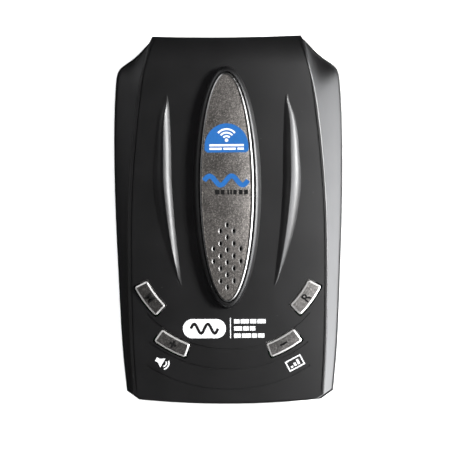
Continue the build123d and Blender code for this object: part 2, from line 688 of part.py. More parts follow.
with BuildPart() as band_leds:
    with BuildSketch(Plane.XZ.offset(-display_board_y[0])):
        with Locations(*led_places):
            Rectangle(*led_size)
    extrude(amount=led_length)
save(band_leds.part, "band_leds")

with BuildPart() as display_header:
    for x in header_columns:
        with BuildSketch(Plane.YZ.offset(x - header_width / 2)):
            with BuildLine():
                Polyline(*header_profile, close=True)
            make_face()
        extrude(amount=header_width)
save(display_header.part, "display_header")

# ---- front end ----
with BuildPart() as front_window:
    levels = (window_z[0] + gap, window_z[1] - gap)
    with BuildSketch(Plane.XZ.offset(-window_flange_y)):
        with Locations((0, sum(levels) / 2)):
            flange_height = levels[1] - levels[0] + 2 * window_flange_reach[1]
            Rectangle(2 * (window_half + window_flange_reach[0]), flange_height)
    extrude(amount=-window_flange_thick)
    with BuildSketch(Plane.XZ.offset(-window_flange_y)):
        with Locations((0, sum(levels) / 2)):
            RectangleRounded(2 * (window_half - gap), levels[1] - levels[0], window_corner - gap)
    extrude(amount=-window_thick)
save(front_window.part, "front_window")


def horn_section(size, y, thickness=0.0):
    """A cross section of the horn, inside its outer face by a wall thickness."""
    with BuildSketch(Plane.XZ.offset(-y)) as sketch:
        with Locations((horn_x, horn_z)):
            Rectangle(size[0] - 2 * thickness, size[1] - 2 * thickness)
    return sketch.sketch


with BuildPart() as horn_antenna:
    throat, mouth = horn_section(throat_size, horn_throat_y), horn_section(horn_mouth, horn_mouth_y)
    loft(sections=[throat, mouth], ruled=True)
    extrude(horn_section(horn_guide, horn_back_y), amount=horn_back_y - horn_throat_y)
    with BuildSketch(Plane.XY.offset(lug_z)):
        with Locations(*horn_screw_places):
            Circle(horn_lug_radius)
        with Locations((horn_x, horn_throat_y)):
            Rectangle(horn_screw_places[1][0] - horn_screw_places[0][0], horn_lug_width)
        with Locations(*horn_screw_places):
            Circle(board_hole_radius, mode=Mode.SUBTRACT)
    extrude(amount=horn_lug_height)
    loft(sections=[horn_section(throat_size, horn_throat_y, 2 * horn_wall),
                   horn_section(horn_mouth, horn_mouth_y, horn_wall)], ruled=True, mode=Mode.SUBTRACT)
    extrude(horn_section(horn_guide, horn_back_y + horn_wall, horn_wall),
            amount=horn_back_y + horn_wall - horn_throat_y, mode=Mode.SUBTRACT)
save(horn_antenna.part, "horn_antenna")

with BuildPart() as mixer_board:
    with BuildSketch(Plane.XY.offset(guide_top)):
        with Locations((horn_x, mixer_y)):
            Rectangle(*mixer_size)
    extrude(amount=mixer_thick)
save(mixer_board.part, "mixer_board")

with BuildPart() as rf_shield:
    with BuildSketch(Plane.XY.offset(guide_top + mixer_thick)):
        with Locations((horn_x, mixer_y)):
            RectangleRounded(*shield_size, 1)
    extrude(amount=shield_height)
    with BuildSketch(Plane.XY.offset(guide_top + mixer_thick)):
        with Locations((horn_x, mixer_y)):
            inside = [size - 2 * shield_wall for size in shield_size[:2]]
            RectangleRounded(*inside, 1 - shield_wall)
    extrude(amount=shield_height - shield_roof, mode=Mode.SUBTRACT)
save(rf_shield.part, "rf_shield")

laser_axis = Axis((laser_x, 0, laser_z), (0, 1, 0))

with BuildPart() as laser_holder:
    with BuildSketch(Plane.XZ.offset(-laser_holder_y[0])):
        with Locations((laser_x, laser_z)):
            RectangleRounded(laser_box, laser_box, 1)
            Circle(laser_tube_radius, mode=Mode.SUBTRACT)
    extrude(amount=laser_holder_y[0] - laser_holder_y[1])
    with BuildSketch(Plane.XZ.offset(-laser_lens_y)):
        with Locations((laser_x, laser_z)):
            Circle(laser_seat_radius)
    extrude(amount=laser_lens_y - laser_holder_y[1], mode=Mode.SUBTRACT)
save(laser_holder.part, "laser_holder")

with BuildPart() as laser_lens:
    with BuildSketch(Plane.XY.offset(laser_z)):
        with BuildLine():
            dome = CenterArc((laser_x, laser_dome[0]), laser_dome[1], laser_dome[2], 90 - laser_dome[2])
            Polyline(dome @ 1, (laser_x, laser_lens_y), ((dome @ 0).X, laser_lens_y), dome @ 0)
        make_face()
    revolve(axis=laser_axis)
save(laser_lens.part, "laser_lens")

with BuildPart() as laser_photodiode:
    start_y = diode_y
    for radius, length in (diode_flange, diode_can):
        with BuildSketch(Plane.XZ.offset(-start_y)):
            with Locations((laser_x, laser_z)):
                Circle(radius)
        extrude(amount=-length)
        start_y += length
save(laser_photodiode.part, "laser_photodiode")

# ---- speaker ----
speaker_axis = Axis((0, speaker_y, 0), (0, 0, 1))


def turned(profile):
    """A solid turned about the speaker's axis from a profile of radius and height."""
    with BuildPart() as solid:
        with BuildSketch(Plane.XZ.offset(-speaker_y)):
            with BuildLine():
                Polyline(*profile, close=True)
            make_face()
        revolve(axis=speaker_axis)
    return solid.part


top, rim_inner = speaker_top, speaker_radius - 1.3
basket_profile = [(0, top - 4.1), (5.6, top - 4.1), (rim_inner, top - 0.8), (rim_inner, top),
                  (speaker_radius, top), (speaker_radius, top - 1), (6.5, top - 4.5), (6.2, top - 4.7),
                  (0, top - 4.7)]
cone_profile = [(0, top - 1.9), (3, top - 2.6), (rim_inner, top - 0.1), (rim_inner, top - 0.5), (3, top - 3),
                (0, top - 2.2)]
magnet_profile = [(0, top - 4.7), (6, top - 4.7), (6, top - 7.4), (5.7, top - 7.7), (0, top - 7.7)]
gasket_profile = [(rim_inner + 0.2, top), (speaker_radius, top), (speaker_radius, top + 0.5),
                  (rim_inner + 0.2, top + 0.5)]
cloth_profile = [(0, top + 0.1), (rim_inner + 0.1, top + 0.1), (rim_inner + 0.1, top + 0.4), (0, top + 0.4)]
save(turned(basket_profile), "speaker_basket")
save(turned(cone_profile), "speaker_cone")
save(turned(magnet_profile), "speaker_magnet")
save(turned(gasket_profile), "speaker_gasket")
save(turned(cloth_profile), "speaker_cloth")

with BuildPart() as speaker_leads:
    with BuildSketch(Plane.XY.offset(main_board_z[1])):
        with Locations((lead_reach, speaker_y), (-lead_reach, speaker_y)):
            Circle(lead_radius)
    extrude(amount=lead_top - main_board_z[1])
save(speaker_leads.part, "speaker_leads")

# ---- power jack ----
with BuildPart() as power_jack:
    with BuildSketch(Plane.YZ.offset(jack_box_x[0])):
        with Locations((jack_y, jack_z)):
            Rectangle(jack_box_width, main_board_z[0] - floor_top)
    extrude(amount=jack_box_x[1] - jack_box_x[0])
    with BuildSketch(Plane.YZ.offset(jack_mouth_x)):
        with Locations((jack_y, jack_z)):
            Circle(jack_nose_radius)
    extrude(amount=jack_box_x[0] - jack_mouth_x)
    with BuildSketch(Plane.YZ.offset(jack_mouth_x)):
        with Locations((jack_y, jack_z)):
            Circle(jack_bore_radius)
    extrude(amount=jack_bore_length, mode=Mode.SUBTRACT)
    with BuildSketch(Plane.YZ.offset(jack_mouth_x + jack_bore_length)):
        with Locations((jack_y, jack_z)):
            Circle(jack_chamber_radius)
    extrude(amount=jack_chamber_length, mode=Mode.SUBTRACT)
save(power_jack.part, "power_jack")

with BuildPart() as jack_contact:
    with BuildSketch(Plane.YZ.offset(jack_mouth_x + jack_bore_length + jack_chamber_length)):
        with Locations((jack_y, jack_z)):
            Circle(jack_chamber_radius - gap)
    extrude(amount=-jack_contact_thick)
save(jack_contact.part, "jack_contact")


# ---- fasteners ----
def screw(place, seat, up, head, shank):
    """A pan-head screw with a cross recess; its shank points up where `up` is 1 and down where it is -1."""
    head_radius, head_height = head
    shank_radius, shank_length = shank
    with BuildPart() as one:
        with BuildSketch(Plane.XY.offset(seat)):
            with Locations(place):
                Circle(head_radius)
        extrude(amount=-up * head_height)
        outer = one.faces().sort_by(Axis.Z)[0 if up > 0 else -1]
        fillet(outer.edges(), head_height * 0.4)
        with BuildSketch(Plane.XY.offset(seat - up * head_height)):
            with Locations(place):
                Rectangle(cross_reach * head_radius, cross_width)
                Rectangle(cross_width, cross_reach * head_radius)
        extrude(amount=up * head_height * cross_depth, mode=Mode.SUBTRACT)
        with BuildSketch(Plane.XY.offset(seat)):
            with Locations(place):
                Circle(shank_radius)
        extrude(amount=up * shank_length)
    return one.part


screw_sets = {  # name: places, seat, direction, head, shank radius and length
    "case_screws": (case_screw_places, screw_seat_z, 1, case_head, (1.15, 13.5)),
    "board_screws": (board_screw_places, main_board_z[1], -1, small_head, (0.85, 6.5)),
    "horn_screws": (horn_screw_places, lug_z + horn_lug_height, -1, small_head, (0.85, 6.2)),
    "key_board_screws": (key_board_screw_places, key_board_z[0], 1, small_head, (0.95, 5.5)),
}
for name, (places, seat, up, head, shank) in screw_sets.items():
    with BuildPart() as screw_set:
        for place in places:
            add(screw(place, seat, up, head, shank))
    save(screw_set.part, name)
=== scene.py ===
"""Looks of a dashboard radar detector: matte black housing, speckled grey oval grille and keys, printed
marks, smoked rear display, dark front window. Metres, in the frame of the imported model."""

import math

import bmesh
import bpy
from mathutils import Matrix, Vector


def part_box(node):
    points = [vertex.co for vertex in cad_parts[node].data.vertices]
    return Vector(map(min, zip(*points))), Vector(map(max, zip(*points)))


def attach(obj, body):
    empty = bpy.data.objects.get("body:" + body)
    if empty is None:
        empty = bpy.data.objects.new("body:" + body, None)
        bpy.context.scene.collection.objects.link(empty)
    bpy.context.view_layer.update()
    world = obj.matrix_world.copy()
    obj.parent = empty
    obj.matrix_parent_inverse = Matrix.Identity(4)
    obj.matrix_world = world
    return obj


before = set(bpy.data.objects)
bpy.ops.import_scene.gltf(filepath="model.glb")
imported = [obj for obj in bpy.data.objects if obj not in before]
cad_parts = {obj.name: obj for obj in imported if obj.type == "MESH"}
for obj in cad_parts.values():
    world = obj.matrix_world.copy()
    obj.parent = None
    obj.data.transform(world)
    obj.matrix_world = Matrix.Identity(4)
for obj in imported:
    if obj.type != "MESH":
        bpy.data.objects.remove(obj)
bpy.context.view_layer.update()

MM = 0.001
HOUSING = "housing"


# ---- places taken from the frame ----
def middle(node):
    """The centre of a node's box."""
    low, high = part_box(node)
    return (low + high) / 2


PLATE_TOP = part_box("oval_plate")[1].z
KEY_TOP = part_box("key_m")[1].z
DISPLAY_LOW, DISPLAY_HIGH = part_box("digit_display")
LABEL_LOW, LABEL_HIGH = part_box("base_label")

HOOD_Z = 26.6 * MM  # the hood's highest line
HOOD_CROWN = 500 * MM  # the radius of the hood's crown across the width
FACE_DEPTH = 0.015 * MM  # paint counts as part of a flat face down to this depth
INK = 0.03 * MM  # thickness of a printed mark
FILM = 0.08 * MM  # thickness of a sticker


def hood_height(x):
    """The height of the crowned hood at `x`."""
    return HOOD_Z - x * x / (2 * HOOD_CROWN)


# ---- node helpers ----
class Shader:
    """A material's node tree, built up from the Principled shader."""

    def __init__(self, name):
        self.material = bpy.data.materials.new(name)
        self.material.use_nodes = True
        self.tree = self.material.node_tree
        self.bsdf = self.tree.nodes["Principled BSDF"]
        self.place = self.node("ShaderNodeTexCoord").outputs["Object"]

    def node(self, kind, **settings):
        made = self.tree.nodes.new(kind)
        for key, value in settings.items():
            setattr(made, key, value)
        return made

    def link(self, source, target):
        self.tree.links.new(source, target)

    def set(self, **values):
        for key, value in values.items():
            self.bsdf.inputs[key.replace("_", " ")].default_value = value

    def noise(self, size, detail=3.0, roughness=0.55):
        """Soft noise whose patches are about `size` metres across."""
        made = self.node("ShaderNodeTexNoise")
        made.inputs["Scale"].default_value = 1 / size
        made.inputs["Detail"].default_value = detail
        made.inputs["Roughness"].default_value = roughness
        self.link(self.place, made.inputs["Vector"])
        return made.outputs["Fac"]

    def cells(self, size, feature="F1", output="Distance"):
        """Cells about `size` metres across."""
        made = self.node("ShaderNodeTexVoronoi", feature=feature)
        made.inputs["Scale"].default_value = 1 / size
        self.link(self.place, made.inputs["Vector"])
        return made.outputs[output]

    def ramp(self, source, *stops):
        """A colour or value ramp; each stop is a position with a colour or a grey value."""
        made = self.node("ShaderNodeValToRGB")
        ramp = made.color_ramp
        while len(ramp.elements) < len(stops):
            ramp.elements.new(0.5)
        for element, (position, value) in zip(ramp.elements, stops):
            element.position = position
            colour = (value, value, value) if isinstance(value, (int, float)) else value
            element.color = (*colour, 1.0)
        self.link(source, made.inputs["Fac"])
        return made.outputs["Color"]

    def mix(self, factor, first, second, blend="MIX"):
        """Mixes two colours, each given as a colour or as a socket."""
        made = self.node("ShaderNodeMix", data_type="RGBA", blend_type=blend)
        for socket, value in ((made.inputs[0], factor), (made.inputs[6], first), (made.inputs[7], second)):
            if isinstance(value, bpy.types.NodeSocket):
                self.link(value, socket)
            elif isinstance(value, (int, float)):
                socket.default_value = value
            else:
                socket.default_value = (*value, 1.0)
        return made.outputs[2]

    def colour(self, socket):
        self.link(socket, self.bsdf.inputs["Base Color"])

    def roughness(self, socket):
        self.link(socket, self.bsdf.inputs["Roughness"])

    def crown(self, tilt, half):
        """A normal that leans outward on both sides, by `tilt` at `half` metres from the middle.

        It changes the shading only: the mesh under it stays flat.
        """
        across = self.node("ShaderNodeSeparateXYZ")
        self.link(self.place, across.inputs["Vector"])
        square = self.node("ShaderNodeMath", operation="MULTIPLY")
        self.link(across.outputs["X"], square.inputs[0])
        self.link(across.outputs["X"], square.inputs[1])
        made = self.node("ShaderNodeBump", invert=True)
        made.inputs["Distance"].default_value = tilt / (2 * half)
        self.link(square.outputs["Value"], made.inputs["Height"])
        return made.outputs["Normal"]

    def bump(self, height, depth, under=None):
        """Surface relief, `depth` metres from the lowest to the highest value of `height`."""
        made = self.node("ShaderNodeBump")
        if under is not None:
            self.link(under, made.inputs["Normal"])
        made.inputs["Strength"].default_value = 1.0
        made.inputs["Distance"].default_value = depth
        self.link(height, made.inputs["Height"])
        self.link(made.outputs["Normal"], self.bsdf.inputs["Normal"])


# ---- materials ----
def moulded_plastic(name, colour, roughness=0.5, grain=0.18 * MM, relief=0.006 * MM, specular=0.5, dust=0.0,
                    crown=None):
    """Moulded plastic with a fine etched texture, faint tone changes and, where asked, specks of dust."""
    s = Shader(name)
    s.set(Specular_IOR_Level=specular)
    dark = tuple(c * 0.82 for c in colour)
    light = tuple(c * 1.25 for c in colour)
    tone = s.ramp(s.noise(9 * MM, 4), (0.35, dark), (0.65, light))
    if dust:
        specks = s.ramp(s.cells(3.1 * MM), (0.0, 1.0), (dust, 0.0))
        tone = s.mix(specks, tone, (0.35, 0.35, 0.34))
    s.colour(tone)
    s.roughness(s.ramp(s.noise(11 * MM, 2), (0.3, roughness - 0.015), (0.7, roughness + 0.015)))
    s.bump(s.noise(grain, 2, 0.7), relief, under=s.crown(*crown) if crown else None)
    return s.material


def speckled_paint(name, dark, light, edge, top, crown, roughness=0.42, metallic=0.6):
    """Metallic paint with fine flakes on the flat face at height `top`, and a plain tone below it."""
    s = Shader(name)
    s.set(Metallic=metallic, Specular_IOR_Level=0.5)
    broad = s.ramp(s.noise(6 * MM, 3), (0.35, dark), (0.68, light))
    grey = s.node("ShaderNodeRGBToBW")
    s.link(s.cells(0.27 * MM, output="Color"), grey.inputs["Color"])
    bright = s.ramp(grey.outputs["Val"], (0.60, 0.0), (0.90, 0.65))
    deep = s.ramp(grey.outputs["Val"], (0.16, 0.65), (0.45, 0.0))
    tone = s.mix(bright, broad, tuple(min(1.0, c * 2.4) for c in light))
    tone = s.mix(deep, tone, tuple(c * 0.35 for c in dark))
    height = s.node("ShaderNodeSeparateXYZ")
    s.link(s.place, height.inputs["Vector"])
    below = s.node("ShaderNodeMath", operation="LESS_THAN")
    s.link(height.outputs["Z"], below.inputs[0])
    below.inputs[1].default_value = top - FACE_DEPTH
    s.colour(s.mix(below.outputs["Value"], tone, edge))
    s.roughness(s.ramp(grey.outputs["Val"], (0.2, roughness + 0.08), (0.8, roughness - 0.06)))
    s.bump(s.noise(0.16 * MM, 2, 0.7), 0.004 * MM, under=s.crown(*crown))
    return s.material


def metal(name, colour, roughness=0.3, grain=0.3 * MM, relief=0.003 * MM):
    """Bare or plated metal with slight tarnish."""
    s = Shader(name)
    s.set(Metallic=1.0)
    s.colour(s.ramp(s.noise(1.6 * MM, 4), (0.3, tuple(c * 0.85 for c in colour)), (0.7, colour)))
    s.roughness(s.ramp(s.noise(0.7 * MM, 4), (0.3, max(0.05, roughness - 0.08)), (0.7, roughness + 0.1)))
    s.bump(s.noise(grain, 3), relief)
    return s.material


def ink(name, colour, roughness=0.45):
    """Printing ink: even, with slight thin spots."""
    s = Shader(name)
    s.set(Specular_IOR_Level=0.2)
    s.colour(s.ramp(s.noise(0.5 * MM, 3), (0.25, tuple(c * 0.8 for c in colour)), (0.5, colour)))
    s.roughness(s.ramp(s.noise(0.8 * MM, 2), (0.3, roughness), (0.7, roughness + 0.15)))
    s.bump(s.noise(0.15 * MM, 2), 0.002 * MM)
    return s.material


def smoked_acrylic(name, colour):
    """Dark polished acrylic that lets a little light through."""
    s = Shader(name)
    s.set(Transmission_Weight=0.85, IOR=1.49)
    s.colour(s.ramp(s.noise(6 * MM, 2), (0.3, tuple(c * 0.9 for c in colour)), (0.7, colour)))
    s.roughness(s.ramp(s.noise(3 * MM, 4), (0.3, 0.03), (0.7, 0.09)))
    s.bump(s.noise(4 * MM, 2), 0.004 * MM)
    return s.material


def clear_glass(name):
    """A clear moulded lens."""
    s = Shader(name)
    s.set(Transmission_Weight=1.0, IOR=1.5)
    s.colour(s.ramp(s.noise(3 * MM, 2), (0.3, (0.86, 0.90, 0.92)), (0.7, (0.93, 0.96, 0.97))))
    s.roughness(s.ramp(s.noise(2 * MM, 2), (0.3, 0.02), (0.7, 0.05)))
    return s.material


def circuit_board(name, mask, trace):
    """Solder mask with copper tracks showing through."""
    s = Shader(name)
    s.set(Specular_IOR_Level=0.5)
    tracks = s.cells(2.3 * MM, feature="DISTANCE_TO_EDGE")
    ground = s.ramp(s.noise(4 * MM), (0.3, mask), (0.7, mask))
    s.colour(s.mix(s.ramp(tracks, (0.05, 1.0), (0.09, 0.0)), ground, trace))
    s.roughness(s.ramp(s.noise(1.2 * MM), (0.3, 0.28), (0.7, 0.4)))
    s.bump(s.ramp(tracks, (0.04, 1.0), (0.1, 0.0)), 0.03 * MM)
    return s.material


def woven(name, colour):
    """Thin woven cloth."""
    s = Shader(name)
    s.set(Roughness=0.9)
    wave = s.node("ShaderNodeTexWave", wave_type="BANDS", bands_direction="X")
    wave.inputs["Scale"].default_value = 1 / (1.5 * MM)
    cross = s.node("ShaderNodeTexWave", wave_type="BANDS", bands_direction="Y")
    cross.inputs["Scale"].default_value = 1 / (1.5 * MM)
    for band in (wave, cross):
        s.link(s.place, band.inputs["Vector"])
    weave = s.mix(0.5, wave.outputs["Color"], cross.outputs["Color"])
    s.colour(s.ramp(weave, (0.2, tuple(c * 0.5 for c in colour)), (0.8, colour)))
    s.bump(weave, 0.05 * MM)
    return s.material


PLATE_CROWN = (0.27, 7 * MM)  # the outward lean of a normal, and how far from the middle it has that lean
KEY_CROWN = (0.26, 22 * MM)
HOOD_SHADE_CROWN = (0.05, 22 * MM)
BLACK_ABS = moulded_plastic("black_abs", (0.0022, 0.0021, 0.0023), roughness=0.43, specular=0.7, dust=0.03,
                           crown=HOOD_SHADE_CROWN)
BLACK_INNER = moulded_plastic("black_inner", (0.02, 0.02, 0.021), roughness=0.6)
PLATE_PAINT = speckled_paint("plate_paint", (0.092, 0.086, 0.081), (0.155, 0.144, 0.136),
                             (0.20, 0.195, 0.19), PLATE_TOP, crown=PLATE_CROWN, roughness=0.46, metallic=0.8)
KEY_PAINT = speckled_paint("key_paint", (0.047, 0.045, 0.043), (0.083, 0.079, 0.077),
                           (0.62, 0.61, 0.60), KEY_TOP, crown=KEY_CROWN, roughness=0.42, metallic=0.75)
SATIN_RIM = metal("satin_rim", (0.42, 0.415, 0.41), roughness=0.30)
SMOKED = smoked_acrylic("smoked_acrylic", (0.10, 0.045, 0.045))
DARK_WINDOW = smoked_acrylic("dark_window", (0.06, 0.012, 0.016))
CLEAR = clear_glass("clear_lens")
BOARD = circuit_board("circuit_board", (0.012, 0.10, 0.035), (0.03, 0.20, 0.07))
MICROWAVE_BOARD = circuit_board("microwave_board", (0.62, 0.60, 0.52), (0.70, 0.52, 0.22))
CAST = metal("die_cast", (0.60, 0.60, 0.59), roughness=0.45, grain=0.5 * MM, relief=0.02 * MM)
TIN = metal("tinned_steel", (0.72, 0.72, 0.71), roughness=0.25)
STEEL = metal("plated_steel", (0.50, 0.50, 0.51), roughness=0.35)
BLACK_STEEL = metal("black_steel", (0.055, 0.055, 0.058), roughness=0.38)
BRASS = metal("brass", (0.80, 0.60, 0.26), roughness=0.28)
CAN = metal("capacitor_can", (0.66, 0.67, 0.69), roughness=0.2)
NYLON = moulded_plastic("nylon", (0.72, 0.71, 0.66), roughness=0.45)
CHIP = moulded_plastic("chip", (0.030, 0.030, 0.033), roughness=0.55)
LED_BODY = moulded_plastic("led_body", (0.09, 0.09, 0.095), roughness=0.5)
LED_RED = moulded_plastic("led_red", (0.42, 0.03, 0.025), roughness=0.25)
PAPER = moulded_plastic("paper_cone", (0.035, 0.035, 0.036), roughness=0.85, grain=0.4 * MM, relief=0.03 * MM)
FERRITE = moulded_plastic("ferrite", (0.07, 0.07, 0.075), roughness=0.55)
FOAM = moulded_plastic("foam", (0.03, 0.03, 0.03), roughness=0.95, grain=0.35 * MM, relief=0.08 * MM)
CLOTH = woven("dust_cloth", (0.02, 0.02, 0.02))
WIRE = moulded_plastic("wire", (0.45, 0.03, 0.02), roughness=0.4)
RIBBON = moulded_plastic("ribbon", (0.55, 0.36, 0.10), roughness=0.35)
RUBBER = moulded_plastic("rubber", (0.022, 0.022, 0.022), roughness=0.8, grain=0.25 * MM, relief=0.02 * MM)
LABEL_FILM = moulded_plastic("label_film", (0.55, 0.56, 0.57), roughness=0.35)
BLUE_INK = ink("blue_ink", (0.006, 0.062, 0.20))
WHITE_INK = ink("white_ink", (0.47, 0.475, 0.48))
BLACK_INK = ink("black_ink", (0.002, 0.002, 0.002), roughness=0.7)
SEGMENT = ink("unlit_segment", (0.55, 0.50, 0.47))

FINISHES = {
    BLACK_ABS: ("upper_shell", "lower_shell"),
    BLACK_INNER: ("display_frame", "laser_holder", "power_jack"),
    PLATE_PAINT: ("oval_plate",),
    KEY_PAINT: ("key_m", "key_r", "key_plus", "key_minus"),
    SATIN_RIM: ("oval_rim",),
    SMOKED: ("display_lens",),
    DARK_WINDOW: ("front_window",),
    CLEAR: ("laser_lens",),
    BOARD: ("key_board", "main_board", "display_board"),
    MICROWAVE_BOARD: ("mixer_board",),
    CAST: ("horn_antenna",),
    TIN: ("rf_shield", "crystal"),
    STEEL: ("speaker_basket", "board_screws", "horn_screws", "key_board_screws"),
    BLACK_STEEL: ("case_screws",),
    BRASS: ("laser_photodiode", "jack_contact", "display_header"),
    CAN: ("capacitors",),
    NYLON: ("plunger_m", "plunger_r", "plunger_plus", "plunger_minus"),
    CHIP: ("microcontroller", "audio_amplifier", "voltage_regulator", "board_header", "tact_switches"),
    LED_BODY: ("digit_display",),
    LED_RED: ("band_leds",),
    PAPER: ("speaker_cone",),
    FERRITE: ("speaker_magnet",),
    FOAM: ("speaker_gasket",),
    CLOTH: ("speaker_cloth",),
    WIRE: ("speaker_leads",),
    RIBBON: ("mixer_ribbon",),
    RUBBER: ("rubber_feet",),
    LABEL_FILM: ("base_label",),
}
for material, nodes in FINISHES.items():
    for node in nodes:
        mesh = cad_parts[node].data
        mesh.materials.clear()
        mesh.materials.append(material)


# ---- printed marks, as thin solids ----
def new_piece(name, bm, material, body):
    """Finishes a bmesh as a piece that rides on a body."""
    bmesh.ops.remove_doubles(bm, verts=bm.verts, dist=0.0005 * MM)
    bmesh.ops.recalc_face_normals(bm, faces=bm.faces)
    mesh = bpy.data.meshes.new(name)
    bm.to_mesh(mesh)
    bm.free()
    piece = bpy.data.objects.new(name, mesh)
    bpy.context.scene.collection.objects.link(piece)
    mesh.materials.append(material)
    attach(piece, body)


def add_plate(bm, points, thickness, turn=0.0, place=(0.0, 0.0, 0.0)):
    """Adds a flat plate with the outline `points`, turned about +Z and moved to its place."""
    corners = [bm.verts.new((x, y, 0.0)) for x, y in points]
    face = bm.faces.new(corners)
    top = bmesh.ops.extrude_face_region(bm, geom=[face])["geom"]
    raised = [v for v in top if isinstance(v, bmesh.types.BMVert)]
    bmesh.ops.translate(bm, verts=raised, vec=(0, 0, thickness))
    move = Matrix.Translation(place) @ Matrix.Rotation(turn, 4, "Z")
    bmesh.ops.transform(bm, matrix=move, verts=corners + raised)


def arc(centre, radius, start, end, steps=20):
    """Points along an arc, with its angles in degrees."""
    angles = [math.radians(start + (end - start) * i / steps) for i in range(steps + 1)]
    return [(centre[0] + radius * math.cos(a), centre[1] + radius * math.sin(a)) for a in angles]


def arc_band(centre, radius, width, start, end):
    """The outline of a band along an arc."""
    return arc(centre, radius + width / 2, start, end) + arc(centre, radius - width / 2, end, start)


def bar(left, right, low, high):
    """The outline of a plain bar."""
    return [(left, low), (right, low), (right, high), (left, high)]


def wave_band(left, right, middle_y, swing, width, waves, steps=60):
    """The outline of a band along a sine wave."""
    line = [(left + (right - left) * i / steps, middle_y + swing * math.sin(2 * math.pi * waves * i / steps))
            for i in range(steps + 1)]
    normals = []
    for i in range(steps + 1):
        before, after = line[max(0, i - 1)], line[min(steps, i + 1)]
        run = Vector((after[0] - before[0], after[1] - before[1])).normalized()
        normals.append((-run.y * width / 2, run.x * width / 2))
    upper = [(p[0] + n[0], p[1] + n[1]) for p, n in zip(line, normals)]
    lower = [(p[0] - n[0], p[1] - n[1]) for p, n in zip(line, normals)]
    return upper + lower[::-1]


def capsule(width, height, steps=24):
    """The outline of a bar with round ends, about the origin."""
    reach = (width - height) / 2
    return arc((reach, 0), height / 2, -90, 90, steps) + arc((-reach, 0), height / 2, 90, 270, steps)


def lay_on_hood(bm, lift):
    """Bends flat marks onto the crowned hood, cut into strips 1 mm wide so that they can follow it."""
    low = min(v.co.x for v in bm.verts)
    high = max(v.co.x for v in bm.verts)
    x = low + MM
    while x < high:
        bmesh.ops.bisect_plane(bm, geom=bm.verts[:] + bm.edges[:] + bm.faces[:], plane_co=(x, 0, 0),
                               plane_no=(1, 0, 0))
        x += MM
    for vert in bm.verts:
        vert.co.z += hood_height(vert.co.x) + lift


def millimetres(points):
    return [(x * MM, y * MM) for x, y in points]


def mark(name, outlines, thickness, material, lift, body=HOUSING, on_hood=False, turn=0.0, place=(0, 0)):
    """A printed mark from outlines in millimetres, laid on a flat face at height `lift` or on the hood."""
    bm = bmesh.new()
    height = 0.0 if on_hood else lift
    for points in outlines:
        add_plate(bm, millimetres(points), thickness, turn, (place[0] * MM, place[1] * MM, height))
    if on_hood:
        lay_on_hood(bm, lift)
    new_piece(name, bm, material, body)


# The plate's blue label with signal arcs, the blue wave, and a row of dark dashes.
label_base, label_reach, label_rise = 19.4, 6.3, 8.3
label_side, corner_cut = 1.6, 0.7  # height of the label's straight sides, and of its cut lower corners
dome = [(label_reach * math.cos(math.radians(a)),
         label_base + label_side + (label_rise - label_side) * math.sin(math.radians(a)))
        for a in range(0, 181, 6)]
label_corner = [(-label_reach, label_base + corner_cut), (-label_reach + corner_cut, label_base),
                (label_reach - corner_cut, label_base), (label_reach, label_base + corner_cut)]
mark("plate_label", [dome + label_corner], FILM, BLUE_INK, PLATE_TOP)
signal_centre = (0.0, 22.9)
signal = [arc_band(signal_centre, r, 0.5, 40, 140) for r in (1.15, 2.15, 3.15)]
signal.append(arc(signal_centre, 0.5, 0, 345, 22))
text_rows = [bar(-4.9, 4.9, 21.15, 21.75), bar(-4.9, -1.4, 20.15, 20.75), bar(-0.9, 2.6, 20.15, 20.75),
             bar(3.1, 4.9, 20.15, 20.75)]
mark("label_signal", signal + text_rows, INK, WHITE_INK, PLATE_TOP + FILM)
blue_wave = wave_band(-6.5, 6.1, 11.4, 1.3, 1.4, 2.0)
mark("plate_wave", [blue_wave], INK, BLUE_INK, PLATE_TOP)
dash_runs = ((-3.4, 1.3), (-1.75, 1.1), (0.1, 0.5), (0.95, 0.5), (1.8, 1.0), (3.4, 1.1), (4.85, 1.15))
dashes = [bar(x, x + width, 7.4, 8.75) for x, width in dash_runs]
mark("plate_dashes", dashes, INK, BLACK_INK, PLATE_TOP)

# The hood's white capsule with a black pulse, a thin line and three rows of bars.
capsule_place = (-6.8, -31.0)
mark("hood_capsule", [capsule(12.4, 5.5)], INK, WHITE_INK, 0.0, on_hood=True, place=capsule_place)
mark("capsule_pulse", [wave_band(-3.9, 3.9, 0.0, 1.35, 0.8, 2.0)], INK, BLACK_INK, INK, on_hood=True,
     place=capsule_place)
block_half = 0.62  # half the height of a row's blocks
rows = [bar(0.55, 0.8, -33.8, -27.9)]
for y, blocks in ((-28.95, ((1.7, 3.3), (3.6, 6.0), (6.3, 8.1), (8.4, 10.8))),
                  (-31.0, ((1.7, 4.0), (4.3, 5.9), (6.2, 7.8))),
                  (-33.05, ((1.7, 3.6), (3.9, 6.5), (6.8, 8.2), (8.5, 10.4)))):
    rows += [bar(left, right, y - block_half, y + block_half) for left, right in blocks]
mark("hood_rows", rows, INK, WHITE_INK, 0.0, on_hood=True)

